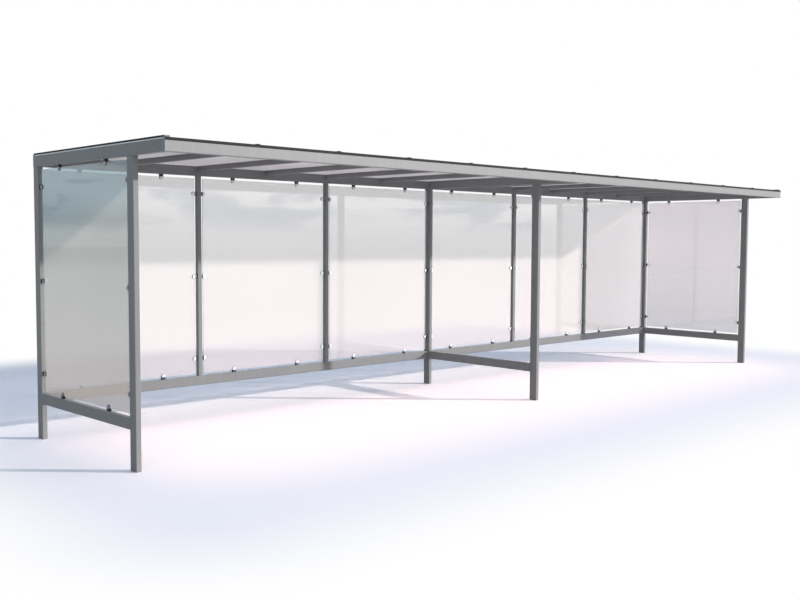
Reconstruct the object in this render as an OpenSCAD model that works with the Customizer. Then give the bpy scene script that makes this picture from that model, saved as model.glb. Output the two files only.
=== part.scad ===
// Bicycle shelter: three steel frames, a glazed rear wall, two glazed ends and a flat roof.
// The front faces -Y, X runs along the shelter, Z = 0 is the ground.

/* [Overall] */
// Length over the outer faces of the two end frames
overall_length = 8400; // [7000:20:10080]
// Depth of a frame over its front and rear posts
frame_depth = 1500; // [1250:10:1800]
// Reach of the roof in front of the front posts
roof_overhang = 400; // [330:5:480]
// Height from the ground to the top of the roof
overall_height = 2150; // [1790:5:2580]

/* [Frame tubes] */
// Width of the posts, roof beams and low side rails, along the shelter
post_width = 40; // [34:1:48]
// Depth of the posts, across the shelter
post_depth = 80; // [66:1:96]
// Width of the square tubes of the mullions and rafters
slim_width = 40; // [34:1:48]
// Width of the rear and front beams and the rear rails, across the shelter
beam_width = 40; // [34:1:48]
// Height of the roof beams
beam_height = 80; // [66:1:96]
// Height of the low rails
rail_height = 80; // [66:1:96]
// Clear height under the low rails
rail_clearance = 270; // [225:5:325]
// Wall of every tube
tube_wall = 3; // [2.5:0.1:3.6]
// Outer radius of the tubes' long edges
tube_corner = 5; // [4.2:0.1:6]
// Thickness of the plate that closes each post's foot
foot_plate = 6; // [5:0.5:8]

/* [Rear wall] */
// Glass panels on each side of the middle frame
panels_per_half = 3; // [2:1:4]
// Thickness of the glass
glass_thickness = 8; // [7:0.5:10]
// Flat ground along the edges of the glass
glass_arris = 1; // [0.8:0.1:1.2]
// Gap from the glass edge to the frame
glass_gap = 20; // [17:1:24]

/* [Glass clamps] */
// Width of a clamp along the frame
clamp_width = 34; // [30:1:40]
// Reach of a clamp from the frame over the glass
clamp_reach = 45; // [38:1:54]
// Thickness of a clamp's cheek on each side of its gasket
clamp_cheek = 5; // [4.9:0.1:6]
// Radius that rounds the outer edges of a clamp
clamp_round = 4.5; // [3.8:0.1:4.8]
// Thickness of the rubber between clamp and glass
gasket_thickness = 2; // [1.6:0.1:2.4]
// Distance between the two screws of a clamp's cover
screw_spacing = 16; // [14:1:18]
// Diameter of the recess for a screw's countersunk head
screw_recess = 8; // [7:0.5:9]
// Depth of that recess
recess_depth = 2; // [1.7:0.1:2.4]
// Distance from the frame's corner to the first clamp on a panel's upright edge
upright_clamp_inset = 150; // [125:5:180]
// Distance from the frame's corner to the first clamp above or below an end panel
end_clamp_inset = 320; // [265:5:385]

/* [Roof] */
// Roof panels over each glass panel
roof_panels_per_bay = 2; // [1:1:3]
// Thickness of the roof panels
panel_thickness = 8; // [7:0.5:10]
// Joint between neighbouring roof panels
panel_joint = 3; // [2.5:0.5:3.5]
// Width of the cover strips and of the end caps
strip_width = 40; // [34:1:48]
// Width of the raised crown along a cover strip
strip_crown = 24; // [20:1:28]
// Height of the crown above the strip's flanges
strip_rise = 5; // [4.2:0.1:6]
// Radius of the crown's upper edges
crown_round = 2; // [1.6:0.1:2.1]
// Width of the screw channel along the crown
channel_width = 10; // [9:1:12]
// Depth of the screw channel
channel_depth = 1.5; // [1.3:0.1:1.8]
// Height of the end caps above the edge profiles
cap_rise = 10; // [8.5:0.5:12]
// Wall of the edge profiles, and thickness of the strips' flanges that meet them
trim_wall = 2; // [1.7:0.1:2.4]
// Lap of the edge profiles over the roof panels
trim_lap = 12; // [10:1:14]
// Reach of the front edge profile down over the front beam
front_drip = 10; // [8.5:0.5:12]

/* [Hidden] */
arc_steps = 48;

front_edge_y = -(frame_depth + roof_overhang) / 2;
rear_face_y = -front_edge_y;
front_post_y = front_edge_y + roof_overhang + post_depth / 2;
rear_post_y = rear_face_y - post_depth / 2;
end_frame_x = (overall_length - post_width) / 2;

rail_top = rail_clearance + rail_height;
crown_bottom = overall_height - cap_rise;
panel_top = crown_bottom - trim_wall;
beam_top = panel_top - panel_thickness;
beam_bottom = beam_top - beam_height;
nose_radius = panel_thickness + trim_wall;
front_beam_y = front_edge_y + trim_wall + beam_width / 2;
beam_front_y = front_beam_y + beam_width / 2;

bay_count = 2 * panels_per_half;
bay_length = overall_length / bay_count;
roof_bay_count = bay_count * roof_panels_per_bay;
roof_bay_length = overall_length / roof_bay_count;
upright_x = [for (i = [1 : bay_count - 1]) if (i != panels_per_half) i * bay_length - overall_length / 2];
rafter_x = [for (i = [1 : roof_bay_count - 1]) if (i != roof_bay_count / 2)
    i * roof_bay_length - overall_length / 2];
frame_x = [-end_frame_x, 0, end_frame_x];

slot_width = glass_thickness + 2 * gasket_thickness;
clamp_thickness = slot_width + 2 * clamp_cheek;
clamp_heights = [
    rail_top + upright_clamp_inset,
    (rail_top + beam_bottom) / 2,
    beam_bottom - upright_clamp_inset];

side_names = ["left", "middle", "right"];
half_names = ["left", "right"];

// ---- tubes ----

module rounded_bar(w, h, r) {
    square([w, h - 2 * r], center = true);
    square([w - 2 * r, h], center = true);
    for (x = [-1, 1], y = [-1, 1])
        translate([x * (w / 2 - r), y * (h / 2 - r)]) circle(r, $fn = arc_steps);
}

module bore_bar(w, h)
    rounded_bar(w - 2 * tube_wall, h - 2 * tube_wall, tube_corner - tube_wall);

module tube_section(w, h)
    difference() {
        rounded_bar(w, h, tube_corner);
        bore_bar(w, h);
    }

// Turn a section that is drawn in the XY plane so that it runs along X or along Y
module run_x(from, to)
    translate([from, 0, 0]) rotate([90, 0, 90]) linear_extrude(to - from) children();

module run_y(from, to)
    translate([0, to, 0]) rotate([90, 0, 0]) linear_extrude(to - from) children();

module run_z(from, to)
    translate([0, 0, from]) linear_extrude(to - from) children();

// ---- frames ----

module post(x, y)
    color("dimgray")
    translate([x, y, 0]) {
        run_z(0, foot_plate) rounded_bar(post_width, post_depth, tube_corner);
        run_z(foot_plate, beam_bottom) tube_section(post_width, post_depth);
    }

module side_rail(x)
    color("dimgray")
    translate([x, 0, rail_top - rail_height / 2])
        run_y(front_post_y + post_depth / 2, rear_post_y - post_depth / 2)
            tube_section(post_width, rail_height);

// The front beam closes the front end, and a plate closes the rear end
module roof_beam(x)
    color("dimgray")
    translate([x, 0, beam_bottom + beam_height / 2]) {
        run_y(beam_front_y, rear_face_y - tube_wall) tube_section(post_width, beam_height);
        run_y(rear_face_y - tube_wall, rear_face_y) rounded_bar(post_width, beam_height, tube_corner);
    }

// ---- rear wall and front edge ----

module rear_rail(side)
    color("dimgray")
    mirror([side < 0 ? 1 : 0, 0, 0])
    translate([0, rear_post_y, rail_top - rail_height / 2])
        run_x(post_width / 2, end_frame_x - post_width / 2) tube_section(beam_width, rail_height);

module rear_beam(side)
    color("dimgray")
    mirror([side < 0 ? 1 : 0, 0, 0])
    translate([0, rear_post_y, beam_bottom + beam_height / 2])
        run_x(post_width / 2, end_frame_x - post_width / 2) tube_section(beam_width, beam_height);

// The two lengths meet in front of the middle frame, and a plate closes each outer end
module front_beam(side)
    color("silver")
    mirror([side < 0 ? 1 : 0, 0, 0])
    translate([0, front_beam_y, beam_bottom + beam_height / 2]) {
        run_x(0, overall_length / 2 - tube_wall) tube_section(beam_width, beam_height);
        run_x(overall_length / 2 - tube_wall, overall_length / 2)
            rounded_bar(beam_width, beam_height, tube_corner);
    }

module rear_mullion(i)
    color("gray")
    translate([upright_x[i - 1], rear_post_y, 0])
        run_z(rail_top, beam_bottom) tube_section(slim_width, slim_width);

module rafter(i)
    color("gray")
    translate([rafter_x[i - 1], 0, beam_top - slim_width / 2])
        run_y(beam_front_y, rear_post_y - beam_width / 2)
            tube_section(slim_width, slim_width);

// ---- glass ----

// Clear faces of the frame on the left and right of rear panel i, counted from 0
function support_x(i) =
    i == 0 ? -end_frame_x
    : i == panels_per_half ? 0
    : i == bay_count ? end_frame_x
    : i * bay_length - overall_length / 2;
function support_half(i) = (i % panels_per_half == 0 ? post_width : slim_width) / 2;
function panel_from(i) = support_x(i) + support_half(i);
function panel_to(i) = support_x(i + 1) - support_half(i + 1);

end_from = front_post_y + post_depth / 2;
end_to = rear_post_y - post_depth / 2;

// Rectangle with its four corners cut off by the arris
module ground_bar(w, h) {
    x = w / 2;
    y = h / 2;
    c = glass_arris;
    polygon([
        [x, y - c], [x - c, y], [c - x, y], [-x, y - c],
        [-x, c - y], [c - x, -y], [x - c, -y], [x, c - y]]);
}

// One pane between two clear faces, in the XZ plane, with its edges ground
module pane(from, to) {
    width = to - from - 2 * glass_gap;
    height = beam_bottom - rail_top - 2 * glass_gap;
    translate([(from + to) / 2, 0, (rail_top + beam_bottom) / 2]) intersection() {
        run_z(-height / 2, height / 2) ground_bar(width, glass_thickness);
        run_x(-width / 2, width / 2) ground_bar(glass_thickness, height);
    }
}

module rear_glass(i)
    color("lightblue", 0.4)
    translate([0, rear_post_y, 0]) pane(panel_from(i - 1), panel_to(i - 1));

module end_glass(side)
    color("lightblue", 0.4)
    translate([side * end_frame_x, 0, 0]) rotate([0, 0, 90]) pane(end_from, end_to);

// ---- clamps ----

// Half outline of a clamp across its thickness, from its middle line out to the edge
module clamp_half_section() {
    round_x = clamp_width / 2 - clamp_round;
    round_y = clamp_thickness / 2 - clamp_round;
    translate([0, -clamp_thickness / 2]) square([round_x, clamp_thickness]);
    translate([0, -round_y]) square([clamp_width / 2, 2 * round_y]);
    for (side = [-1, 1])
        translate([round_x, side * round_y]) circle(clamp_round, $fn = arc_steps);
}

// D-shaped block: it stands on the frame at Z = 0 and its round end reaches over the glass
module clamp_block() {
    straight = clamp_reach - clamp_width / 2;
    linear_extrude(straight) {
        clamp_half_section();
        mirror([1, 0]) clamp_half_section();
    }
    translate([0, 0, straight]) rotate([-90, 0, 0])
        rotate_extrude($fn = arc_steps) clamp_half_section();
}

// Space of the slot for the glass, starting at the given distance from the frame
module clamp_slot(width, start)
    translate([-clamp_width, -width / 2, start]) cube([2 * clamp_width, width, clamp_reach]);

// Space in front of the joint between a clamp's cover and its body
module cover_space()
    translate([-clamp_width, -clamp_thickness, -1])
        cube([2 * clamp_width, clamp_thickness - slot_width / 2, clamp_reach + 2]);

// The body has the rear cheek and the block that fills the gap from the frame to the glass
module clamp_body()
    difference() {
        clamp_block();
        clamp_slot(slot_width, glass_gap - gasket_thickness);
        cover_space();
    }

// The cover is the front cheek, with two countersinks over the body's block
module clamp_cover()
    difference() {
        intersection() {
            clamp_block();
            cover_space();
        }
        for (x = [-screw_spacing / 2, screw_spacing / 2])
            translate([x, -clamp_thickness / 2, (glass_gap - gasket_thickness) / 2]) rotate([-90, 0, 0])
                cylinder(h = recess_depth, d1 = screw_recess, d2 = screw_recess / 2, $fn = arc_steps);
    }

// The gasket is a U that wraps the edge of the glass
module gasket()
    difference() {
        intersection() {
            clamp_block();
            clamp_slot(slot_width, glass_gap - gasket_thickness);
        }
        clamp_slot(glass_thickness, glass_gap);
    }

// Sets its child at every clamp of a panel between two clear faces, in the XZ plane
module round_panel(from, to, top_places) {
    for (u = top_places) {
        translate([u, 0, rail_top]) children();
        translate([u, 0, beam_bottom]) rotate([0, 180, 0]) children();
    }
    for (z = clamp_heights) {
        translate([from, 0, z]) rotate([0, 90, 0]) children();
        translate([to, 0, z]) rotate([0, -90, 0]) children();
    }
}

module round_every_panel() {
    for (i = [0 : bay_count - 1]) {
        middle = (i + 0.5) * bay_length - overall_length / 2;
        translate([0, rear_post_y, 0])
            round_panel(panel_from(i), panel_to(i), [middle - bay_length / 4, middle + bay_length / 4])
                children();
    }
    for (side = [-1, 1])
        translate([side * end_frame_x, 0, 0]) mirror([side < 0 ? 0 : 1, 0, 0]) rotate([0, 0, 90])
            round_panel(end_from, end_to, [end_from + end_clamp_inset, end_to - end_clamp_inset])
                children();
}

module glass_clamps()
    color("silver") round_every_panel() clamp_body();

module clamp_covers()
    color("lightgray") round_every_panel() clamp_cover();

module clamp_gaskets()
    color("black") round_every_panel() gasket();

// ---- roof ----

module roof_panels()
    color("thistle")
    for (i = [0 : roof_bay_count - 1]) {
        last = roof_bay_count - 1;
        left = i * roof_bay_length + (i == 0 ? 2 * trim_wall : panel_joint / 2);
        right = (i + 1) * roof_bay_length - (i == last ? 2 * trim_wall : panel_joint / 2);
        translate([left - overall_length / 2, front_edge_y + nose_radius, beam_top])
            cube([right - left, rear_face_y - front_edge_y - 2 * nose_radius, panel_thickness]);
    }

// Crown of a cover strip, with rounded upper edges and the channel for its screws
module crown_section()
    difference() {
        union() {
            translate([-strip_crown / 2, 0]) square([strip_crown, strip_rise - crown_round]);
            translate([crown_round - strip_crown / 2, 0]) square([strip_crown - 2 * crown_round, strip_rise]);
            for (side = [-1, 1])
                translate([side * (strip_crown / 2 - crown_round), strip_rise - crown_round])
                    circle(crown_round, $fn = arc_steps);
        }
        translate([-channel_width / 2, strip_rise - channel_depth]) square([channel_width, channel_depth]);
    }

// Strip over a joint between two panels, its flanges between the edge profiles' laps
module cover_strip() {
    run_y(front_edge_y + nose_radius + trim_lap, rear_face_y - nose_radius - trim_lap)
        translate([-strip_width / 2, -trim_wall]) square([strip_width, trim_wall]);
    run_y(front_edge_y + nose_radius, rear_face_y - nose_radius) crown_section();
}

// Cap along the left end, with its outer side at X = 0 and its rear end rounded.
// A lip and a flange reach down on either side of the end trim's flange.
module end_cap() {
    run_y(front_edge_y + nose_radius + trim_lap, rear_face_y - nose_radius - trim_lap)
        for (side = [[0, trim_wall], [trim_lap, strip_width]])
            translate([side[0], -trim_wall]) square([side[1] - side[0], trim_wall]);
    run_x(0, strip_width) {
        translate([front_edge_y + nose_radius, 0])
            square([rear_face_y - front_edge_y - 2 * nose_radius - cap_rise, cap_rise]);
        translate([rear_face_y - nose_radius - cap_rise, 0]) intersection() {
            circle(cap_rise, $fn = arc_steps);
            square(cap_rise);
        }
    }
}

module cover_strips()
    color("dimgray") translate([0, 0, crown_bottom]) {
        for (x = concat([0], rafter_x))
            translate([x, 0, 0]) cover_strip();
        for (side = [0, 1])
            mirror([side, 0, 0]) translate([-overall_length / 2, 0, 0]) end_cap();
    }

// Quarter circle of the edge profile's nose, its outer face at X = 0 and its foot at Y = 0
module nose(radius)
    translate([nose_radius, 0]) intersection() {
        circle(radius, $fn = arc_steps);
        translate([-radius, 0]) square(radius);
    }

// Edge profile: a hollow nose, a lap over the panels and a drip down the face of the beam
module edge_section(drip, hollow)
    difference() {
        union() {
            nose(nose_radius);
            translate([nose_radius, panel_thickness]) square([trim_lap, trim_wall]);
            if (drip > 0) translate([0, -drip]) square([trim_wall, drip]);
        }
        if (hollow) nose(panel_thickness);
    }

module edge_profile(drip) {
    half = overall_length / 2;
    run_x(-half, -half + trim_wall) edge_section(drip, false);
    run_x(-half + trim_wall, half - trim_wall) edge_section(drip, true);
    run_x(half - trim_wall, half) edge_section(drip, false);
}

module long_edge_trims()
    color("darkslategray") {
        translate([0, front_edge_y, beam_top]) edge_profile(front_drip);
        mirror([0, 1, 0]) translate([0, -rear_face_y, beam_top]) edge_profile(0);
    }

// Angle round the end panels' outer edges: its web between the noses, its flange between
// their laps, both behind the lip of the end cap
module end_edge_trims()
    color("silver")
    for (side = [0, 1])
        mirror([side, 0, 0]) translate([trim_wall - overall_length / 2, 0, beam_top]) {
            run_y(front_edge_y + nose_radius, rear_face_y - nose_radius)
                square([trim_wall, panel_thickness]);
            run_y(front_edge_y + nose_radius + trim_lap, rear_face_y - nose_radius - trim_lap)
                translate([0, panel_thickness]) square([trim_lap - trim_wall, trim_wall]);
        }

for (i = [0 : 2]) {
    post(frame_x[i], front_post_y);
    post(frame_x[i], rear_post_y);
    side_rail(frame_x[i]);
    roof_beam(frame_x[i]);
}
for (i = [0 : 1]) {
    rear_rail(2 * i - 1);
    rear_beam(2 * i - 1);
    front_beam(2 * i - 1);
    end_glass(2 * i - 1);
}
for (i = [1 : len(upright_x)])
    rear_mullion(i);
for (i = [1 : len(rafter_x)])
    rafter(i);
for (i = [1 : bay_count])
    rear_glass(i);
glass_clamps();
clamp_covers();
clamp_gaskets();
roof_panels();
cover_strips();
long_edge_trims();
end_edge_trims();
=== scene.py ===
from math import cos, pi, radians, sin

import bpy
from mathutils import Euler, Matrix, Vector


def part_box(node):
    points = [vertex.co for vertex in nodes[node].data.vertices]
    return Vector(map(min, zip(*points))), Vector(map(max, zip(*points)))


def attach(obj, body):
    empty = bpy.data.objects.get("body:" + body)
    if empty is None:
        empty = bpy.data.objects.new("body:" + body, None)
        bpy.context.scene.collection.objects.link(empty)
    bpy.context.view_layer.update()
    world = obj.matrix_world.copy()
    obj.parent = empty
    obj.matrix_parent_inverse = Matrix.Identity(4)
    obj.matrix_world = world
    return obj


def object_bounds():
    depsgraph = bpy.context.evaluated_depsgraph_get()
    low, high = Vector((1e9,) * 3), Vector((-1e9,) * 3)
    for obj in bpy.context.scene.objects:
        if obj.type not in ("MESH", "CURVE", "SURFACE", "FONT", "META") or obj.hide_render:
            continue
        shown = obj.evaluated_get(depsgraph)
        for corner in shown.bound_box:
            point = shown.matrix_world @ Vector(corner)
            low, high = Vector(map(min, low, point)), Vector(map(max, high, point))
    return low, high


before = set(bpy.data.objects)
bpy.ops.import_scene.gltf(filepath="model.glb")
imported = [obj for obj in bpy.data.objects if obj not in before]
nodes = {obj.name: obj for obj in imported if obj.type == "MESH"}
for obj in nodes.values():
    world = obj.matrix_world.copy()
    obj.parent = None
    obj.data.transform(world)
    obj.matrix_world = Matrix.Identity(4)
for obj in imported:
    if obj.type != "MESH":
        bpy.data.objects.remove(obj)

cad_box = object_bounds()


# ---- The view ----
# The shelter is seen from the open ground in front of its left end, at eye height,
# so that the left end wall, the whole open front and the far right end all show.

eye = Vector((-7.26, -6.17, 1.52))
heading, tilt, roll = radians(45.96), radians(-3.58), radians(0.28)
camera = bpy.data.objects.new("camera", bpy.data.cameras.new("camera"))
turn = Euler((radians(90) + tilt, 0, heading - radians(90))).to_matrix() @ Matrix.Rotation(roll, 3, "Z")
camera.matrix_world = Matrix.Translation(eye) @ turn.to_4x4()
camera.data.lens = 43.28
camera.data.clip_end = 600
bpy.context.scene.collection.objects.link(camera)
bpy.context.scene.camera = camera
bpy.context.scene.view_settings.view_transform = "Standard"


# ---- The light ----
# One low key lamp shines in past the right end of the open front. The surround is white to
# the camera and beyond the glass. Gloss mirrors a low sky with banks of cloud, calmer at the
# sides. What lights the shelter is dimmer, bluish behind it and brighter on the lamp's side.

def add(tree, kind, inputs=None, **settings):
    """A new node of that kind, with its settings and with fixed values for some of its inputs."""
    node = tree.nodes.new(kind)
    for name, value in settings.items():
        setattr(node, name, value)
    for name, value in (inputs or {}).items():
        node.inputs[name].default_value = value
    return node


def wire(tree, *ends):
    """Links each output to the input that follows it."""
    for source, target in zip(ends[::2], ends[1::2]):
        tree.links.new(source, target)


lamp_height, lamp_bearing = radians(15.8), radians(-45)
lamp = bpy.data.objects.new("key_lamp", bpy.data.lights.new("key_lamp", "SUN"))
lamp_side = Vector((cos(lamp_bearing), sin(lamp_bearing), 0))
lamp_way = -cos(lamp_height) * lamp_side - Vector((0, 0, sin(lamp_height)))
lamp.rotation_euler = lamp_way.to_track_quat("-Z", "Y").to_euler()
lamp.data.energy = 3.3
lamp.data.angle = radians(1.6)
lamp.data.color = (1.0, 0.955, 0.93)
bpy.context.scene.collection.objects.link(lamp)

world = bpy.data.worlds.new("surround")
world.use_nodes = True
bpy.context.scene.world = world
tree = world.node_tree
tree.nodes.clear()
path = add(tree, "ShaderNodeLightPath")
place = add(tree, "ShaderNodeTexCoord")
height = add(tree, "ShaderNodeSeparateXYZ")
towards = add(tree, "ShaderNodeVectorMath", {1: (0.35, -0.93, 0.1)}, operation="DOT_PRODUCT")
turned = add(tree, "ShaderNodeMapRange", {"From Min": -0.35, "From Max": 0.75},
             interpolation_type="SMOOTHSTEP")
soft = add(tree, "ShaderNodeMix", data_type="RGBA")
soft.inputs[6].default_value = (0.115, 0.195, 0.23, 1)
soft.inputs[7].default_value = (0.92, 0.93, 0.96, 1)
sky = add(tree, "ShaderNodeValToRGB")
sky.color_ramp.elements[0].position, sky.color_ramp.elements[0].color = 0.0, (0.36, 0.365, 0.37, 1)
sky.color_ramp.elements[1].position, sky.color_ramp.elements[1].color = 0.34, (0.19, 0.22, 0.25, 1)
sky.color_ramp.elements.new(0.06).color = (1, 0.97, 0.94, 1)
dim = add(tree, "ShaderNodeBackground", {"Strength": 1.0})
white = add(tree, "ShaderNodeBackground", {"Color": (1, 1, 1, 1)})
banks = add(tree, "ShaderNodeMapping", {"Scale": (1.0, 1.0, 4.5)})
cloud = add(tree, "ShaderNodeTexNoise", {"Scale": 9.0, "Detail": 7.0, "Roughness": 0.6, "Distortion": 0.4})
break_up = add(tree, "ShaderNodeMapRange", {"From Min": 0.44, "From Max": 0.58, "To Min": 1.0, "To Max": 0.0},
               interpolation_type="SMOOTHSTEP")
calm = add(tree, "ShaderNodeMapRange", {"To Min": 0.85, "To Max": 0.0})
gaps = add(tree, "ShaderNodeMath", operation="MAXIMUM")
low_sky = add(tree, "ShaderNodeMapRange", {"From Min": 0.0, "From Max": 0.02},
              interpolation_type="SMOOTHSTEP")
open_sky = add(tree, "ShaderNodeMath", operation="MULTIPLY")
clouded = add(tree, "ShaderNodeMix", data_type="RGBA", blend_type="MULTIPLY")
clouded.inputs[7].default_value = (0.2, 0.31, 0.4, 1)
beyond = add(tree, "ShaderNodeVectorMath", {1: (0.5, 0.866, 0.0)}, operation="DOT_PRODUCT")
backdrop = add(tree, "ShaderNodeMapRange", {"From Min": 0.6, "From Max": 0.69},
               interpolation_type="SMOOTHSTEP")
mirrored = add(tree, "ShaderNodeMix", data_type="RGBA")
mirrored.inputs[7].default_value = (0.294, 0.294, 0.294, 1)
gloss = add(tree, "ShaderNodeBackground", {"Strength": 3.4})
seen = add(tree, "ShaderNodeMath", operation="MAXIMUM")
plain_view = add(tree, "ShaderNodeMixShader")
full_view = add(tree, "ShaderNodeMixShader")
out = add(tree, "ShaderNodeOutputWorld")
wire(tree,
     place.outputs["Generated"], height.inputs[0],
     place.outputs["Generated"], towards.inputs[0],
     towards.outputs["Value"], turned.inputs["Value"],
     turned.outputs["Result"], soft.inputs[0],
     soft.outputs[2], dim.inputs["Color"],
     height.outputs["Z"], sky.inputs["Fac"],
     place.outputs["Generated"], banks.inputs["Vector"],
     banks.outputs[0], cloud.inputs["Vector"],
     cloud.outputs["Fac"], break_up.inputs["Value"],
     height.outputs["Z"], low_sky.inputs["Value"],
     turned.outputs["Result"], calm.inputs["Value"],
     break_up.outputs["Result"], gaps.inputs[0],
     calm.outputs["Result"], gaps.inputs[1],
     gaps.outputs[0], open_sky.inputs[0],
     low_sky.outputs["Result"], open_sky.inputs[1],
     open_sky.outputs[0], clouded.inputs[0],
     sky.outputs["Color"], clouded.inputs[6],
     place.outputs["Generated"], beyond.inputs[0],
     beyond.outputs["Value"], backdrop.inputs["Value"],
     backdrop.outputs["Result"], mirrored.inputs[0],
     clouded.outputs[2], mirrored.inputs[6],
     mirrored.outputs[2], gloss.inputs["Color"],
     path.outputs["Is Camera Ray"], seen.inputs[0],
     path.outputs["Is Transmission Ray"], seen.inputs[1],
     seen.outputs[0], plain_view.inputs[0],
     dim.outputs[0], plain_view.inputs[1],
     white.outputs[0], plain_view.inputs[2],
     path.outputs["Is Glossy Ray"], full_view.inputs[0],
     plain_view.outputs[0], full_view.inputs[1],
     gloss.outputs[0], full_view.inputs[2],
     full_view.outputs[0], out.inputs["Surface"])


# ---- The floor ----
# Level pale ground, with the shelter's shadow on it and a painted pool of light under the
# roof, brighter and warmer. It fades to the white surround in front of the shelter, behind it
# and beyond its ends.

floor_half = 150.0
mesh = bpy.data.meshes.new("floor")
corners = [(-floor_half, -floor_half, 0), (floor_half, -floor_half, 0),
           (floor_half, floor_half, 0), (-floor_half, floor_half, 0)]
mesh.from_pydata(corners, [], [(0, 1, 2, 3)])
floor = bpy.data.objects.new("floor", mesh)
bpy.context.scene.collection.objects.link(floor)
reach_beyond = bpy.data.node_groups.new("reach_beyond_box", "ShaderNodeTree")
for socket in ("Centre", "Half size"):
    reach_beyond.interface.new_socket(socket, in_out="INPUT", socket_type="NodeSocketVector")
reach_beyond.interface.new_socket("Width", in_out="INPUT", socket_type="NodeSocketFloat")
reach_beyond.interface.new_socket("Amount", in_out="OUTPUT", socket_type="NodeSocketFloat")
given, result = add(reach_beyond, "NodeGroupInput"), add(reach_beyond, "NodeGroupOutput")
place = add(reach_beyond, "ShaderNodeTexCoord")
centred = add(reach_beyond, "ShaderNodeVectorMath", operation="SUBTRACT")
mirrored = add(reach_beyond, "ShaderNodeVectorMath", operation="ABSOLUTE")
inside = add(reach_beyond, "ShaderNodeVectorMath", operation="SUBTRACT")
outside = add(reach_beyond, "ShaderNodeVectorMath", {1: (0.0, 0.0, 0.0)}, operation="MAXIMUM")
reach = add(reach_beyond, "ShaderNodeVectorMath", operation="LENGTH")
fade = add(reach_beyond, "ShaderNodeMapRange", {"From Min": 0.0}, interpolation_type="SMOOTHSTEP")
wire(reach_beyond,
     place.outputs["Object"], centred.inputs[0],
     given.outputs["Centre"], centred.inputs[1],
     centred.outputs[0], mirrored.inputs[0],
     mirrored.outputs[0], inside.inputs[0],
     given.outputs["Half size"], inside.inputs[1],
     inside.outputs[0], outside.inputs[0],
     outside.outputs[0], reach.inputs[0],
     reach.outputs["Value"], fade.inputs["Value"],
     given.outputs["Width"], fade.inputs["From Max"],
     fade.outputs["Result"], result.inputs["Amount"])

material = bpy.data.materials.new("pale_floor")
material.use_nodes = True
tree = material.node_tree
tree.nodes.clear()
path = add(tree, "ShaderNodeLightPath")
edge_fade = add(tree, "ShaderNodeGroup", node_tree=reach_beyond)
edge_fade.inputs["Centre"].default_value = (0.3, 1.5, 0.0)
edge_fade.inputs["Half size"].default_value = (4.7, 3.2, 0.0)
edge_fade.inputs["Width"].default_value = 1.35
# Painted light: under the roof and just behind it the ground is brighter and warmer, lifting the shade there.
light_pool_fade = add(tree, "ShaderNodeGroup", node_tree=reach_beyond)
light_pool_fade.inputs["Centre"].default_value = (0.2, 0.35, 0.0)
light_pool_fade.inputs["Half size"].default_value = (3.4, 0.65, 0.0)
light_pool_fade.inputs["Width"].default_value = 1.7
painted_light_pool = add(tree, "ShaderNodeMix", data_type="RGBA")
painted_light_pool.inputs[6].default_value = (1.32, 1.16, 1.09, 1)
painted_light_pool.inputs[7].default_value = (1.02, 0.975, 0.98, 1)
near = add(tree, "ShaderNodeBsdfDiffuse")
lift = add(tree, "ShaderNodeEmission", {"Color": (0.0, 0.3, 1.0, 1), "Strength": 0.12})
lifted = add(tree, "ShaderNodeAddShader")
blank = add(tree, "ShaderNodeEmission", {"Color": (1, 1, 1, 1)})
faded = add(tree, "ShaderNodeMixShader")
bounce = add(tree, "ShaderNodeBsdfDiffuse", {"Color": (0.6, 0.6, 0.615, 1)})
either = add(tree, "ShaderNodeMath", operation="MAXIMUM")
any_view = add(tree, "ShaderNodeMath", operation="MAXIMUM")
shown = add(tree, "ShaderNodeMixShader")
out = add(tree, "ShaderNodeOutputMaterial")
wire(tree,
     light_pool_fade.outputs["Amount"], painted_light_pool.inputs[0],
     painted_light_pool.outputs[2], near.inputs["Color"],
     near.outputs[0], lifted.inputs[0],
     lift.outputs[0], lifted.inputs[1],
     edge_fade.outputs["Amount"], faded.inputs[0],
     lifted.outputs[0], faded.inputs[1],
     blank.outputs[0], faded.inputs[2],
     path.outputs["Is Camera Ray"], either.inputs[0],
     path.outputs["Is Glossy Ray"], either.inputs[1],
     either.outputs[0], any_view.inputs[0],
     path.outputs["Is Transmission Ray"], any_view.inputs[1],
     any_view.outputs[0], shown.inputs[0],
     bounce.outputs[0], shown.inputs[1],
     faded.outputs[0], shown.inputs[2],
     shown.outputs[0], out.inputs["Surface"])
floor.data.materials.append(material)


# ---- Frame tubes ----
# Rectangular steel tubes, welded into three side frames and joined by rails, beams, mullions
# and rafters. All have a satin grey powder coat with a fine orange-peel skin, and rain
# splashes have left some dust on their feet. The front beams get a lighter copy of the coat,
# painted light for the sun and sky they catch.

def new_group(name, inputs, outputs):
    """A shader node group with those sockets: its tree, its input node and its output node.
    A number makes a value socket, four numbers a colour, and a word a vector with none set."""
    tree = bpy.data.node_groups.new(name, "ShaderNodeTree")
    kinds = {float: "NodeSocketFloat", tuple: "NodeSocketColor", str: "NodeSocketVector"}
    for socket, value in inputs.items():
        made = tree.interface.new_socket(socket, in_out="INPUT", socket_type=kinds[type(value)])
        if type(value) is not str:
            made.default_value = value
    for socket, kind in outputs.items():
        tree.interface.new_socket(socket, in_out="OUTPUT", socket_type=kind)
    return tree, add(tree, "NodeGroupInput"), add(tree, "NodeGroupOutput")


def use_group(tree, group, inputs):
    """Places the group in a material, with that material's own values."""
    node = add(tree, "ShaderNodeGroup", node_tree=group)
    for name, value in inputs.items():
        node.inputs[name].default_value = value
    return node


def principled(name, inputs):
    """A new material with a Principled shader: the material, its tree and its shader."""
    material = bpy.data.materials.new(name)
    material.use_nodes = True
    shader = material.node_tree.nodes["Principled BSDF"]
    for socket, value in inputs.items():
        shader.inputs[socket].default_value = value
    return material, material.node_tree, shader


def finish_nodes(names, material):
    """Gives each of those nodes that material alone."""
    for name in names:
        nodes[name].data.materials.clear()
        nodes[name].data.materials.append(material)


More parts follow.
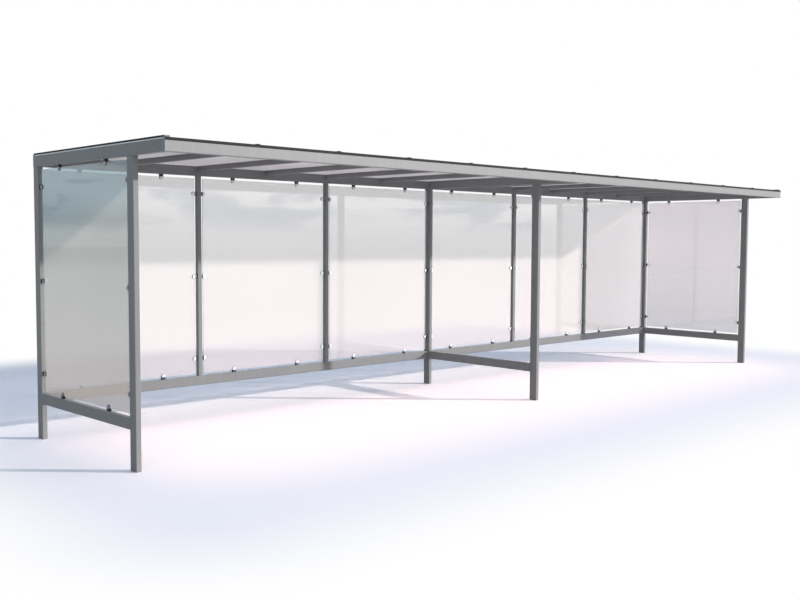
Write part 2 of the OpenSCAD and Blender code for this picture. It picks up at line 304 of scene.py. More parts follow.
powder_coat, given, result = new_group(
    "powder_coat",
    {"Tone": (0.3, 0.3, 0.3, 1), "Dust": (0.4, 0.38, 0.36, 1), "Splash height": 0.25, "Roughness": 0.45},
    {"Color": "NodeSocketColor", "Roughness": "NodeSocketFloat", "Height": "NodeSocketFloat"})
place = add(powder_coat, "ShaderNodeTexCoord")
peel = add(powder_coat, "ShaderNodeTexNoise", {"Scale": 420.0, "Detail": 2.0})
cloud = add(powder_coat, "ShaderNodeTexNoise", {"Scale": 2.3, "Detail": 4.0, "Roughness": 0.6})
streak_scale = add(powder_coat, "ShaderNodeMapping", {"Scale": (38.0, 38.0, 1.7)})
streak = add(powder_coat, "ShaderNodeTexNoise", {"Scale": 1.0, "Detail": 3.0})
both = add(powder_coat, "ShaderNodeMath", operation="ADD")
shift = add(powder_coat, "ShaderNodeMapRange",
            {"From Min": 0.7, "From Max": 1.3, "To Min": 0.955, "To Max": 1.045})
varied = add(powder_coat, "ShaderNodeVectorMath", operation="SCALE")
spot = add(powder_coat, "ShaderNodeSeparateXYZ")
low = add(powder_coat, "ShaderNodeMapRange", {"To Min": 1.0, "To Max": 0.0})
speckle = add(powder_coat, "ShaderNodeTexNoise", {"Scale": 60.0, "Detail": 5.0, "Roughness": 0.7})
grime = add(powder_coat, "ShaderNodeMath", operation="MULTIPLY")
amount = add(powder_coat, "ShaderNodeMath", {1: 0.5}, operation="MULTIPLY", use_clamp=True)
dusty = add(powder_coat, "ShaderNodeMix", data_type="RGBA")
rough = add(powder_coat, "ShaderNodeMath", {1: 0.5}, operation="MULTIPLY_ADD")
wire(powder_coat,
     place.outputs["Object"], peel.inputs["Vector"],
     place.outputs["Object"], cloud.inputs["Vector"],
     place.outputs["Object"], streak_scale.inputs["Vector"],
     streak_scale.outputs[0], streak.inputs["Vector"],
     cloud.outputs["Fac"], both.inputs[0],
     streak.outputs["Fac"], both.inputs[1],
     both.outputs[0], shift.inputs["Value"],
     given.outputs["Tone"], varied.inputs[0],
     shift.outputs["Result"], varied.inputs["Scale"],
     place.outputs["Object"], spot.inputs[0],
     spot.outputs["Z"], low.inputs["Value"],
     given.outputs["Splash height"], low.inputs["From Max"],
     place.outputs["Object"], speckle.inputs["Vector"],
     low.outputs["Result"], grime.inputs[0],
     speckle.outputs["Fac"], grime.inputs[1],
     grime.outputs[0], amount.inputs[0],
     amount.outputs[0], dusty.inputs[0],
     varied.outputs[0], dusty.inputs[6],
     given.outputs["Dust"], dusty.inputs[7],
     amount.outputs[0], rough.inputs[0],
     given.outputs["Roughness"], rough.inputs[2],
     dusty.outputs[2], result.inputs["Color"],
     rough.outputs[0], result.inputs["Roughness"],
     peel.outputs["Fac"], result.inputs["Height"])


def coated(name, tone, roughness=0.45, gloss=0.25, peel_depth=0.00006):
    """A powder coat of that tone."""
    material, tree, shader = principled(name, {"Specular IOR Level": gloss})
    coat = use_group(tree, powder_coat, {"Tone": (*tone, 1), "Roughness": roughness})
    skin = add(tree, "ShaderNodeBump", {"Distance": peel_depth, "Strength": 1.0})
    wire(tree,
         coat.outputs["Color"], shader.inputs["Base Color"],
         coat.outputs["Roughness"], shader.inputs["Roughness"],
         coat.outputs["Height"], skin.inputs["Height"],
         skin.outputs[0], shader.inputs["Normal"])
    return material


frame_grey = coated("frame_grey_coat", (0.236, 0.239, 0.244))
# Painted light: the front beams' coat is the frame coat made lighter, for the sun and sky they catch.
lit_front_grey = coated("front_beam_lit_coat", (0.278, 0.279, 0.281))
tube_words = ("post", "rail", "beam", "mullion", "rafter")
front_beams = [name for name in nodes if name.startswith("front_beam")]
tubes = [name for name in nodes
         if any(word in name for word in tube_words) and name not in front_beams]
finish_nodes(tubes, frame_grey)
finish_nodes(front_beams, lit_front_grey)


# ---- Weld beads ----
# Where one tube ends on another, a small fillet weld runs along each inner corner that
# they form. The beads are coated with the frame.

tube_corner = 0.005
touching = 0.0001
least_contact = 0.01
least_step = 0.002
ripple_turn = 1750.0


def corners_between(one, other):
    """The edges round the place where two boxes touch, where only one of them goes on."""
    low = [max(a, b) for a, b in zip(one[0], other[0])]
    high = [min(a, b) for a, b in zip(one[1], other[1])]
    size = [b - a for a, b in zip(low, high)]
    across = size.index(min(size))
    along = [axis for axis in range(3) if axis != across]
    if abs(size[across]) > touching or min(size[axis] for axis in along) < least_contact:
        return
    for side, other_side in (along, along[::-1]):
        for end in (0, 1):
            step = one[end][side] - other[end][side]
            if abs(step) > least_step:
                start = [0.0, 0.0, 0.0]
                start[across] = (low[across] + high[across]) / 2
                start[side] = (low, high)[end][side]
                start[other_side] = low[other_side] + tube_corner
                stop = list(start)
                stop[other_side] = high[other_side] - tube_corner
                yield start, stop


def named_input(tree, name, kind, value=None):
    """Gives a geometry tree a named input, and gives back the identifier to set it by."""
    made = tree.interface.new_socket(name, in_out="INPUT", socket_type=kind)
    if value is not None:
        made.default_value = value
    return made.identifier


def grow_piece(name, mesh, tree, values):
    """Makes a piece of the shelter of what the tree grows on this mesh."""
    source = bpy.data.objects.new(name + "_source", mesh)
    bpy.context.scene.collection.objects.link(source)
    grow = source.modifiers.new("grow", "NODES")
    grow.node_group = tree
    for identifier, value in values.items():
        grow[identifier] = value
    plain = bpy.data.meshes.new_from_object(source.evaluated_get(bpy.context.evaluated_depsgraph_get()))
    source.modifiers.remove(grow)
    bpy.data.objects.remove(source)
    plain.name = name
    piece = bpy.data.objects.new(name, plain)
    bpy.context.scene.collection.objects.link(piece)
    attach(piece, "root")


bead = bpy.data.node_groups.new("fillet_bead", "GeometryNodeTree")
named_input(bead, "Lines", "NodeSocketGeometry")
named_input(bead, "Radius", "NodeSocketFloat", 0.0025)
named_input(bead, "Step", "NodeSocketFloat", 0.0018)
named_input(bead, "Ripple", "NodeSocketFloat", 0.12)
bead_material = named_input(bead, "Material", "NodeSocketMaterial")
bead.interface.new_socket("Beads", in_out="OUTPUT", socket_type="NodeSocketGeometry")
given, result = add(bead, "NodeGroupInput"), add(bead, "NodeGroupOutput")
line = add(bead, "GeometryNodeMeshToCurve")
stepped = add(bead, "GeometryNodeResampleCurve", mode="LENGTH")
ring = add(bead, "GeometryNodeCurvePrimitiveCircle", {"Resolution": 8})
where = add(bead, "GeometryNodeSplineParameter")
wave = add(bead, "ShaderNodeMath", {1: ripple_turn}, operation="MULTIPLY")
swell = add(bead, "ShaderNodeMath", operation="SINE")
ripple = add(bead, "ShaderNodeMath", {2: 1.0}, operation="MULTIPLY_ADD")
round_bar = add(bead, "GeometryNodeCurveToMesh", {"Fill Caps": True})
smooth = add(bead, "GeometryNodeSetShadeSmooth")
real = add(bead, "GeometryNodeRealizeInstances")
coat = add(bead, "GeometryNodeSetMaterial")
wire(bead,
     given.outputs["Lines"], line.inputs[0],
     line.outputs[0], stepped.inputs["Curve"],
     given.outputs["Step"], stepped.inputs["Length"],
     given.outputs["Radius"], ring.inputs["Radius"],
     where.outputs["Length"], wave.inputs[0],
     wave.outputs[0], swell.inputs[0],
     swell.outputs[0], ripple.inputs[0],
     given.outputs["Ripple"], ripple.inputs[1],
     stepped.outputs[0], round_bar.inputs["Curve"],
     ring.outputs[0], round_bar.inputs["Profile Curve"],
     ripple.outputs[0], round_bar.inputs["Scale"],
     round_bar.outputs[0], smooth.inputs[0],
     smooth.outputs[0], real.inputs[0],
     real.outputs[0], coat.inputs[0],
     given.outputs["Material"], coat.inputs["Material"],
     coat.outputs[0], result.inputs[0])

steel_tubes = tubes + front_beams
boxes = [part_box(name) for name in steel_tubes]
points, edges = [], []
for i, one in enumerate(boxes):
    for other in boxes[i + 1:]:
        for start, stop in corners_between(one, other):
            points += [start, stop]
            edges.append((len(points) - 2, len(points) - 1))
mesh = bpy.data.meshes.new("weld_lines")
mesh.from_pydata(points, edges, [])
grow_piece("weld_beads", mesh, bead, {bead_material: frame_grey})


# ---- Glass ----
# Toughened clear panes, 8 mm thick, with ground edges. They hang free of the tubes in their
# clamps, and a thin film of dust on them catches the light. Each wall's panes have their own
# tint and film colours, painted shade and painted reflections of what that wall faces, and
# low down the film takes a painted reflection of the ground.

ground_edge, given, result = new_group(
    "ground_edge",
    {"Across": "vector", "Face": (0.8, 0.8, 0.8, 1), "Edge": (0.3, 0.5, 0.42, 1),
     "Film": (0.9, 0.9, 0.9, 1), "Low painted reflection": (0.9, 0.9, 0.9, 1)},
    {"Color": "NodeSocketColor", "Roughness": "NodeSocketFloat", "Film": "NodeSocketColor"})
place = add(ground_edge, "ShaderNodeTexCoord")
facing = add(ground_edge, "ShaderNodeNewGeometry")
square = add(ground_edge, "ShaderNodeVectorMath", operation="DOT_PRODUCT")
flat = add(ground_edge, "ShaderNodeMath", operation="ABSOLUTE")
edge = add(ground_edge, "ShaderNodeMath", {1: 0.9}, operation="LESS_THAN")
tinted = add(ground_edge, "ShaderNodeMix", data_type="RGBA")
rough = add(ground_edge, "ShaderNodeMath", {1: 0.35}, operation="MULTIPLY")
drift = add(ground_edge, "ShaderNodeTexNoise", {"Scale": 0.8, "Detail": 1.0, "Roughness": 0.4})
spread = add(ground_edge, "ShaderNodeMapRange",
             {"From Min": 0.0, "From Max": 1.0, "To Min": 0.94, "To Max": 1.06})
spot = add(ground_edge, "ShaderNodeSeparateXYZ")
rise = add(ground_edge, "ShaderNodeMapRange", {"From Min": 0.5, "From Max": 1.5},
           interpolation_type="SMOOTHSTEP")
reflection_blend = add(ground_edge, "ShaderNodeMix", data_type="RGBA")
clouded = add(ground_edge, "ShaderNodeVectorMath", operation="SCALE")
wire(ground_edge,
     facing.outputs["Normal"], square.inputs[0],
     given.outputs["Across"], square.inputs[1],
     square.outputs["Value"], flat.inputs[0],
     flat.outputs[0], edge.inputs[0],
     edge.outputs[0], tinted.inputs[0],
     given.outputs["Face"], tinted.inputs[6],
     given.outputs["Edge"], tinted.inputs[7],
     edge.outputs[0], rough.inputs[0],
     place.outputs["Object"], drift.inputs["Vector"],
     drift.outputs["Fac"], spread.inputs["Value"],
     place.outputs["Object"], spot.inputs[0],
     spot.outputs["Z"], rise.inputs["Value"],
     rise.outputs["Result"], reflection_blend.inputs[0],
     given.outputs["Low painted reflection"], reflection_blend.inputs[6],
     given.outputs["Film"], reflection_blend.inputs[7],
     reflection_blend.outputs[2], clouded.inputs[0],
     spread.outputs["Result"], clouded.inputs["Scale"],
     tinted.outputs[2], result.inputs["Color"],
     rough.outputs[0], result.inputs["Roughness"],
     clouded.outputs[0], result.inputs["Film"])


def pane_glass(name, across, face, film, low_painted_reflection, film_share, back_share, shade):
    """Glass with a dusty film. From 1.5 m down to 0.5 m the film turns to its low colour, a
    painted reflection of the ground. Lamps shine through it with the shade's colour at each face."""
    material, tree, shader = principled(name, {"IOR": 1.75, "Transmission Weight": 1.0})
    ground = use_group(tree, ground_edge, {
        "Across": across, "Face": (*face, 1), "Film": (*film, 1), "Low painted reflection": (*low_painted_reflection, 1)})
    front = add(tree, "ShaderNodeBsdfDiffuse")
    back = add(tree, "ShaderNodeBsdfTranslucent")
    dust = add(tree, "ShaderNodeMixShader", {0: back_share})
    hazy = add(tree, "ShaderNodeMixShader", {0: film_share})
    clear = add(tree, "ShaderNodeBsdfTransparent", {"Color": (*shade, 1)})
    path = add(tree, "ShaderNodeLightPath")
    lets = add(tree, "ShaderNodeMixShader")
    wire(tree,
         ground.outputs["Color"], shader.inputs["Base Color"],
         ground.outputs["Roughness"], shader.inputs["Roughness"],
         ground.outputs["Film"], front.inputs["Color"],
         ground.outputs["Film"], back.inputs["Color"],
         front.outputs[0], dust.inputs[1],
         back.outputs[0], dust.inputs[2],
         shader.outputs[0], hazy.inputs[1],
         dust.outputs[0], hazy.inputs[2],
         path.outputs["Is Shadow Ray"], lets.inputs[0],
         hazy.outputs[0], lets.inputs[1],
         clear.outputs[0], lets.inputs[2],
         lets.outputs[0], tree.nodes["Material Output"].inputs["Surface"])
    return material


pane_shade = (0.42, 0.44, 0.47)
rear_panes = [name for name in nodes if name.startswith("rear_glass")]
# Painted shade and reflection: each wall's panes get their own face tint and film colours, the left ones dark
# teal with a warm film, the right ones grey, for the shade and surroundings each wall shows.
rear_clear = pane_glass(
    "rear_pane_glass", across=(0, 1, 0), face=(0.88, 0.92, 0.94), film=(1.0, 0.89, 0.855),
    low_painted_reflection=(1.0, 0.855, 0.835), film_share=0.28, back_share=0.3, shade=pane_shade)
left_clear = pane_glass(
    "left_pane_glass", across=(1, 0, 0), face=(0.35, 0.5, 0.56), film=(0.86, 0.65, 0.48),
    low_painted_reflection=(1.0, 0.7, 0.56), film_share=0.22, back_share=0.45, shade=pane_shade)
right_clear = pane_glass(
    "right_pane_glass", across=(1, 0, 0), face=(0.67, 0.65, 0.68), film=(0.95, 0.88, 0.88),
    low_painted_reflection=(0.75, 0.75, 0.78), film_share=0.24, back_share=0.45, shade=pane_shade)
finish_nodes(rear_panes, rear_clear)
finish_nodes(["end_glass_left"], left_clear)
finish_nodes(["end_glass_right"], right_clear)


# ---- Glass clamps ----
# D-shaped cast clamps of satin stainless steel. Each grips the edge of a pane between its
# body and its cover, in a U of black rubber, and two countersunk screws close it. Its
# neck, between the tube and the pane, is painted black, as painted shade and painted reflection.

cast_steel, given, result = new_group(
    "cast_steel",
    {"Tone": (0.5, 0.5, 0.5, 1), "Roughness": 0.2},
    {"Color": "NodeSocketColor", "Roughness": "NodeSocketFloat", "Height": "NodeSocketFloat"})
place = add(cast_steel, "ShaderNodeTexCoord")
smear = add(cast_steel, "ShaderNodeTexNoise", {"Scale": 45.0, "Detail": 4.0})
pits = add(cast_steel, "ShaderNodeTexNoise", {"Scale": 900.0, "Detail": 2.0})
swing = add(cast_steel, "ShaderNodeMapRange",
            {"From Min": 0.35, "From Max": 0.65, "To Min": 0.85, "To Max": 1.1})
varied = add(cast_steel, "ShaderNodeVectorMath", operation="SCALE")
rough = add(cast_steel, "ShaderNodeMath", {1: 0.12}, operation="MULTIPLY_ADD")
wire(cast_steel,
     place.outputs["Object"], smear.inputs["Vector"],
     place.outputs["Object"], pits.inputs["Vector"],
     smear.outputs["Fac"], swing.inputs["Value"],
     given.outputs["Tone"], varied.inputs[0],
     swing.outputs["Result"], varied.inputs["Scale"],
     smear.outputs["Fac"], rough.inputs[0],
     given.outputs["Roughness"], rough.inputs[2],
     varied.outputs[0], result.inputs["Color"],
     rough.outputs[0], result.inputs["Roughness"],
     pits.outputs["Fac"], result.inputs["Height"])


def steel(name, tone, roughness):
    """Cast steel of that tone."""
    material, tree, shader = principled(name, {"Metallic": 1.0})
    cast = use_group(tree, cast_steel, {"Tone": (*tone, 1), "Roughness": roughness})
    skin = add(tree, "ShaderNodeBump", {"Distance": 0.00003})
    wire(tree,
         cast.outputs["Color"], shader.inputs["Base Color"],
         cast.outputs["Roughness"], shader.inputs["Roughness"],
         cast.outputs["Height"], skin.inputs["Height"],
         skin.outputs[0], shader.inputs["Normal"])
    return material


# The neck is what lies beyond the edges of every pane; it is painted black as shade.
pane_low, pane_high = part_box("rear_glass_1")
end_low, end_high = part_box("end_glass_left")
bars = [sum(corner[0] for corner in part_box(f"rear_mullion_{i}")) / 2 for i in (1, 2)]
bar_pitch = bars[1] - bars[0]
clamp_neck_shade, given, result = new_group("clamp_neck_shade", {"Amount": 1.0}, {"Neck": "NodeSocketFloat"})
place = add(clamp_neck_shade, "ShaderNodeTexCoord")
spot = add(clamp_neck_shade, "ShaderNodeSeparateXYZ")
outward = add(clamp_neck_shade, "ShaderNodeMath", operation="ABSOLUTE")
far = add(clamp_neck_shade, "ShaderNodeMath", {1: -pane_low[0]}, operation="GREATER_THAN")
from_bar = add(clamp_neck_shade, "ShaderNodeMath", {1: bar_pitch / 2}, operation="PINGPONG")
by_bar = add(clamp_neck_shade, "ShaderNodeMath", {1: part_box("rear_glass_2")[0][0] - bars[0]}, operation="LESS_THAN")
upright = add(clamp_neck_shade, "ShaderNodeMath", operation="MAXIMUM")
behind = add(clamp_neck_shade, "ShaderNodeMath", {1: end_high[1]}, operation="GREATER_THAN")
rear = add(clamp_neck_shade, "ShaderNodeMath", operation="MULTIPLY")
over = add(clamp_neck_shade, "ShaderNodeMath", {1: pane_high[2]}, operation="GREATER_THAN")
under = add(clamp_neck_shade, "ShaderNodeMath", {1: pane_low[2]}, operation="LESS_THAN")
before = add(clamp_neck_shade, "ShaderNodeMath", {1: end_low[1]}, operation="LESS_THAN")
level = add(clamp_neck_shade, "ShaderNodeMath", operation="MAXIMUM")
edge = add(clamp_neck_shade, "ShaderNodeMath", operation="MAXIMUM")
every = add(clamp_neck_shade, "ShaderNodeMath", operation="MAXIMUM")
shown = add(clamp_neck_shade, "ShaderNodeMath", operation="MULTIPLY")
wire(clamp_neck_shade,
     place.outputs["Object"], spot.inputs[0],
     spot.outputs["X"], outward.inputs[0],
     outward.outputs[0], far.inputs[0],
     spot.outputs["X"], from_bar.inputs[0],
     from_bar.outputs[0], by_bar.inputs[0],
     far.outputs[0], upright.inputs[0],
     by_bar.outputs[0], upright.inputs[1],
     spot.outputs["Y"], behind.inputs[0],
     behind.outputs[0], rear.inputs[0],
     upright.outputs[0], rear.inputs[1],
     spot.outputs["Z"], over.inputs[0],
     spot.outputs["Z"], under.inputs[0],
     spot.outputs["Y"], before.inputs[0],
     over.outputs[0], level.inputs[0],
     under.outputs[0], level.inputs[1],
     before.outputs[0], edge.inputs[0],
     rear.outputs[0], edge.inputs[1],
     level.outputs[0], every.inputs[0],
     edge.outputs[0], every.inputs[1],
     every.outputs[0], shown.inputs[0],
     given.outputs["Amount"], shown.inputs[1],
     shown.outputs[0], result.inputs["Neck"])


def clamp_steel(name, tone, roughness):
    """Clamp steel of that tone, painted black along its neck for the shade and dark reflections there."""
    material = steel(name, tone, roughness)
    tree = material.node_tree
    shader = tree.nodes["Principled BSDF"]
    neck = use_group(tree, clamp_neck_shade, {"Amount": 1.0})
    black = add(tree, "ShaderNodeMix", data_type="RGBA")
    black.inputs[7].default_value = (0.02, 0.02, 0.022, 1)
    wire(tree,
         shader.inputs["Base Color"].links[0].from_socket, black.inputs[6],
         neck.outputs["Neck"], black.inputs[0],
         black.outputs[2], shader.inputs["Base Color"])
    return material


# Painted shade: the body is a much darker copy of the cover's steel, for the dark outline round each clamp.
shaded_body_steel = clamp_steel("clamp_body_steel", (0.2, 0.2, 0.21), 0.22)
cover_steel = clamp_steel("clamp_cover_steel", (0.7, 0.7, 0.71), 0.3)
finish_nodes(["glass_clamps"], shaded_body_steel)
finish_nodes(["clamp_covers"], cover_steel)

rubber, tree, shader = principled("clamp_rubber", {"Roughness": 0.7})
place = add(tree, "ShaderNodeTexCoord")
bloom = add(tree, "ShaderNodeTexNoise", {"Scale": 120.0, "Detail": 4.0})
tone = add(tree, "ShaderNodeMix", data_type="RGBA")
tone.inputs[6].default_value = (0.012, 0.012, 0.013, 1)
tone.inputs[7].default_value = (0.045, 0.045, 0.045, 1)
wire(tree,
     place.outputs["Object"], bloom.inputs["Vector"],
     bloom.outputs["Fac"], tone.inputs[0],
     tone.outputs[2], shader.inputs["Base Color"])
finish_nodes(["clamp_gaskets"], rubber)


# ---- Screws in the clamps ----
# Countersunk stainless screws with a hexagon socket sit just below the face of each
# cover, two to a clamp.

def screw_head(name, outline, metal, sides=24):
    """A turned head: its outline runs from its underside up, over and down into its socket.
    Each point is a radius, a height and whether the ring there is a hexagon."""
    points = [(0.0, 0.0, outline[0][1])]
    for radius, height, hexagon in outline:
        for k in range(sides):
            angle = 2 * pi * k / sides
            reach = radius
            if hexagon:
                reach = radius * cos(pi / 6) / cos((angle + pi / 6) % (pi / 3) - pi / 6)
            points.append((reach * cos(angle), reach * sin(angle), height))
    points.append((0.0, 0.0, outline[-1][1]))
    faces = []
    for k in range(sides):
        after = (k + 1) % sides
        faces.append((0, after + 1, k + 1))
        for ring in range(len(outline) - 1):
            low, high = ring * sides + 1, (ring + 1) * sides + 1
            faces.append((low + k, low + after, high + after, high + k))
        top = (len(outline) - 1) * sides + 1
        faces.append((top + k, top + after, len(points) - 1))
    mesh = bpy.data.meshes.new(name)
    mesh.from_pydata(points, [], faces)
    mesh.materials.append(metal)
    head = bpy.data.objects.new(name, mesh)
    bpy.context.scene.collection.objects.link(head)
    return head


screws = bpy.data.node_groups.new("screws_in_place", "GeometryNodeTree")
named_input(screws, "Places", "NodeSocketGeometry")
screw_kind = named_input(screws, "Screw", "NodeSocketObject")
named_input(screws, "Size", "NodeSocketFloat", 1.0)
screw_metal = named_input(screws, "Material", "NodeSocketMaterial")
screws.interface.new_socket("Screws", in_out="OUTPUT", socket_type="NodeSocketGeometry")
given, result = add(screws, "NodeGroupInput"), add(screws, "NodeGroupOutput")
kind = add(screws, "GeometryNodeObjectInfo")
turn = add(screws, "GeometryNodeInputNamedAttribute", {"Name": "turn"}, data_type="FLOAT_VECTOR")
dots = add(screws, "GeometryNodeMeshToPoints")
set_in = add(screws, "GeometryNodeInstanceOnPoints")
real = add(screws, "GeometryNodeRealizeInstances")
coat = add(screws, "GeometryNodeSetMaterial")
wire(screws,
     given.outputs["Places"], dots.inputs["Mesh"],
     given.outputs["Screw"], kind.inputs["Object"],
     dots.outputs[0], set_in.inputs["Points"],
     kind.outputs["Geometry"], set_in.inputs["Instance"],
     turn.outputs["Attribute"], set_in.inputs["Rotation"],
     given.outputs["Size"], set_in.inputs["Scale"],
     set_in.outputs[0], real.inputs[0],
     real.outputs[0], coat.inputs[0],
     given.outputs["Material"], coat.inputs["Material"],
     coat.outputs[0], result.inputs[0])


def screw_piece(name, head, places, turns, metal):
    """Makes a piece of one head at each place, turned from facing up."""
    mesh = bpy.data.meshes.new(name + "_places")
    mesh.from_pydata(places, [], [])
    turned = mesh.attributes.new("turn", "FLOAT_VECTOR", "POINT")
    for point, angles in zip(turned.data, turns):
        point.vector = angles
    grow_piece(name, mesh, screws, {screw_kind: head, screw_metal: metal})
    bpy.data.objects.remove(head)


screw_offset = 0.011
half_screw_pitch = 0.008
sunk_depth = 0.0003
cover_face = 0.011
head_face = cover_face - sunk_depth
clamp_heights = (0.5, 1.2, 1.9)
end_clamp_inset = 0.3


def screws_round(low, high, tops):
    """Both screws of every clamp round a pane: their places along it and up."""
    for step in (-half_screw_pitch, half_screw_pitch):
        for height in clamp_heights:
            yield low[0] - screw_offset, height + step
            yield high[0] + screw_offset, height + step
        for top in tops:
            yield top + step, low[1] - screw_offset
            yield top + step, high[1] + screw_offset


places, turns = [], []
for name in rear_panes:
    low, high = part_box(name)
    middle = (int(name[-1]) - 0.5) * bar_pitch + cad_box[0][0]
    tops = [middle - bar_pitch / 4, middle + bar_pitch / 4]
    centre = (low[1] + high[1]) / 2
    for along, up in screws_round((low[0], low[2]), (high[0], high[2]), tops):
        places.append((along, centre - head_face, up))
        turns.append((radians(90), 0, 0))
for name, side in (("end_glass_left", 1), ("end_glass_right", -1)):
    low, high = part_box(name)
    tops = [low[1] + end_clamp_inset, high[1] - end_clamp_inset]
    centre = (low[0] + high[0]) / 2
    for along, up in screws_round((low[1], low[2]), (high[1], high[2]), tops):
        places.append((centre + side * head_face, along, up))
        turns.append((0, side * radians(90), 0))
screw_steel = steel("screw_steel", (0.6, 0.6, 0.6), 0.2)
countersunk = screw_head("countersunk_head", [
    (0.0019, -0.0017, False), (0.0035, -0.0002, False), (0.0034, 0.0, False),
    (0.0016, 0.0, True), (0.0015, -0.0002, True), (0.0015, -0.0012, True)], screw_steel)
screw_piece("clamp_screws", countersunk, places, turns, screw_steel)


# ---- Roof panels ----
# Twin-wall sheets of opal polycarbonate, 8 mm thick, laid side by side. Their inner webs
# show as faint lines from front to back, and daylight glows through them.

web_pitch = 0.016
web_share = 0.16
opal, tree, shader = principled("opal_sheet", {"Roughness": 0.85, "Specular IOR Level": 0.04})
place = add(tree, "ShaderNodeTexCoord")
spot = add(tree, "ShaderNodeSeparateXYZ")
cells = add(tree, "ShaderNodeMath", {1: 1 / web_pitch}, operation="MULTIPLY")
along = add(tree, "ShaderNodeMath", operation="FRACT")
web = add(tree, "ShaderNodeMath", {1: web_share}, operation="LESS_THAN")
grime = add(tree, "ShaderNodeTexNoise", {"Scale": 3.0, "Detail": 5.0})
faint = add(tree, "ShaderNodeMapRange", {"From Min": 0.3, "From Max": 0.7, "To Min": 0.9, "To Max": 1.0})
ribbed = add(tree, "ShaderNodeMath", {1: -0.1}, operation="MULTIPLY_ADD")
shade = add(tree, "ShaderNodeVectorMath", operation="SCALE")
shade.inputs[0].default_value = (0.76, 0.755, 0.77)
glow = add(tree, "ShaderNodeVectorMath", operation="SCALE")
glow.inputs[0].default_value = (0.92, 0.9, 0.92)
through = add(tree, "ShaderNodeBsdfTranslucent")
milky = add(tree, "ShaderNodeMixShader", {0: 0.5})
wire(tree,
     place.outputs["Object"], spot.inputs[0],
     spot.outputs["X"], cells.inputs[0],
     cells.outputs[0], along.inputs[0],
     along.outputs[0], web.inputs[0],
     place.outputs["Object"], grime.inputs["Vector"],
     grime.outputs["Fac"], faint.inputs["Value"],
     web.outputs[0], ribbed.inputs[0],
     faint.outputs["Result"], ribbed.inputs[2],
     ribbed.outputs[0], shade.inputs["Scale"],
     ribbed.outputs[0], glow.inputs["Scale"],
     shade.outputs[0], shader.inputs["Base Color"],
     glow.outputs[0], through.inputs["Color"],
     shader.outputs[0], milky.inputs[1],
     through.outputs[0], milky.inputs[2],
     milky.outputs[0], tree.nodes["Material Output"].inputs["Surface"])
finish_nodes(["roof_panels"], opal)


# ---- Roof trims ----
# Dark coated aluminium sections cap the long edges, the joints and the ends. The angles round
# the sheets' short edges are unpainted mill-finish aluminium. The front ends of the two end caps
# are painted light, for the sun that falls on them.

dark_tone = (0.03, 0.033, 0.036)
end_cap_width = 0.05
facing_front = -0.9
dark_coat = coated("dark_trim_coat", dark_tone, 0.6, 0.08)
finish_nodes(["long_edge_trims"], dark_coat)
mill, tree, shader = principled("mill_aluminium", {"Metallic": 0.4})
place = add(tree, "ShaderNodeTexCoord")
drawn = add(tree, "ShaderNodeMapping", {"Scale": (900.0, 5.0, 900.0)})
lines = add(tree, "ShaderNodeTexNoise", {"Scale": 1.0, "Detail": 3.0})
blotch = add(tree, "ShaderNodeTexNoise", {"Scale": 9.0, "Detail": 4.0})
tone = add(tree, "ShaderNodeMapRange", {"From Min": 0.3, "From Max": 0.7, "To Min": 0.92, "To Max": 1.04})
varied = add(tree, "ShaderNodeVectorMath", operation="SCALE")
varied.inputs[0].default_value = (0.62, 0.63, 0.65)
rough = add(tree, "ShaderNodeMapRange", {"To Min": 0.34, "To Max": 0.5})
skin = add(tree, "ShaderNodeBump", {"Distance": 0.00004})
wire(tree,
     place.outputs["Object"], drawn.inputs["Vector"],
     drawn.outputs[0], lines.inputs["Vector"],
     place.outputs["Object"], blotch.inputs["Vector"],
     blotch.outputs["Fac"], tone.inputs["Value"],
     tone.outputs["Result"], varied.inputs["Scale"],
     varied.outputs[0], shader.inputs["Base Color"],
     lines.outputs["Fac"], rough.inputs["Value"],
     rough.outputs["Result"], shader.inputs["Roughness"],
     lines.outputs["Fac"], skin.inputs["Height"],
     skin.outputs[0], shader.inputs["Normal"])
finish_nodes(["end_edge_trims"], mill)

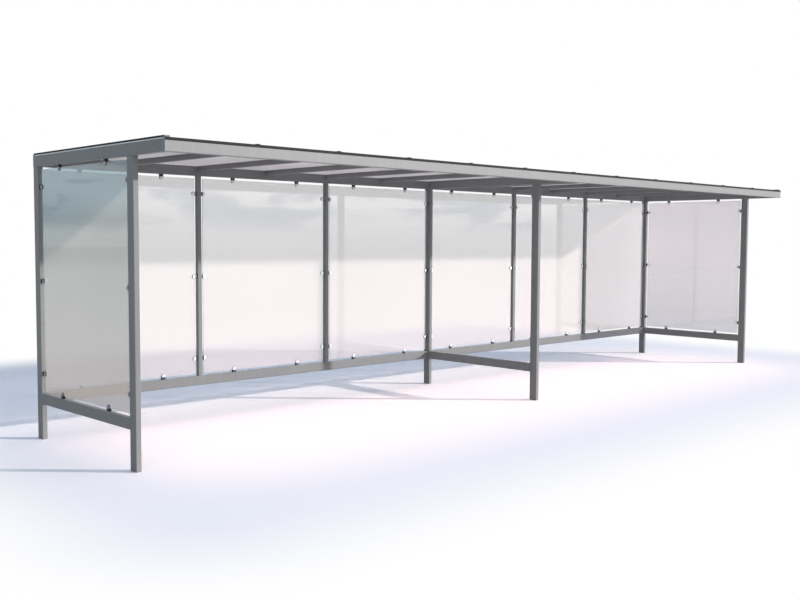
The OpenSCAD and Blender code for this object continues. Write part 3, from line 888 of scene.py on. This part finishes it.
strip_coat = coated("cover_strip_coat", dark_tone, 0.6, 0.08)
tree = strip_coat.node_tree
shader = tree.nodes["Principled BSDF"]
place = add(tree, "ShaderNodeTexCoord")
facing = add(tree, "ShaderNodeNewGeometry")
spot = add(tree, "ShaderNodeSeparateXYZ")
way = add(tree, "ShaderNodeSeparateXYZ")
outward = add(tree, "ShaderNodeMath", operation="ABSOLUTE")
# Painted light: only the front-facing ends of the two end caps turn lighter.
end_cap = add(tree, "ShaderNodeMath", {1: cad_box[1][0] - end_cap_width}, operation="GREATER_THAN")
front_end = add(tree, "ShaderNodeMath", {1: facing_front}, operation="LESS_THAN")
lit_end_mask = add(tree, "ShaderNodeMath", operation="MULTIPLY")
painted_end_light = add(tree, "ShaderNodeMix", data_type="RGBA")
painted_end_light.inputs[7].default_value = (0.25, 0.25, 0.265, 1)
wire(tree,
     place.outputs["Object"], spot.inputs[0],
     spot.outputs["X"], outward.inputs[0],
     outward.outputs[0], end_cap.inputs[0],
     facing.outputs["Normal"], way.inputs[0],
     way.outputs["Y"], front_end.inputs[0],
     end_cap.outputs[0], lit_end_mask.inputs[0],
     front_end.outputs[0], lit_end_mask.inputs[1],
     shader.inputs["Base Color"].links[0].from_socket, painted_end_light.inputs[6],
     lit_end_mask.outputs[0], painted_end_light.inputs[0],
     painted_end_light.outputs[2], shader.inputs["Base Color"])
finish_nodes(["cover_strips"], strip_coat)


# ---- Screws in the cover strips ----
# Button-head screws on washers hold each strip down on the rafter or beam below it. They
# stand in the strip's channel.

button = screw_head("button_head", [
    (0.0045, -0.0008, False), (0.0045, -0.0001, False), (0.0044, 0.0, False), (0.0036, 0.0, False),
    (0.0036, 0.0004, False), (0.0033, 0.0012, False), (0.0026, 0.0018, False), (0.0019, 0.002, False),
    (0.0016, 0.002, True), (0.0015, 0.0018, True), (0.0015, 0.0009, True)], screw_steel)
channel_depth = 0.0065
washer_thickness = 0.0008
screw_rows = (-0.84, -0.42, 0.0, 0.42, 0.84)
channel = cad_box[1][2] - channel_depth
strip_pitch = bar_pitch / 2
strip_count = 2 * round(cad_box[1][0] / strip_pitch) - 1
places = [((i - strip_count // 2) * strip_pitch, y, channel + washer_thickness)
          for i in range(strip_count) for y in screw_rows]
screw_piece("strip_screws", button, places, [(0, 0, 0)] * len(places), screw_steel)
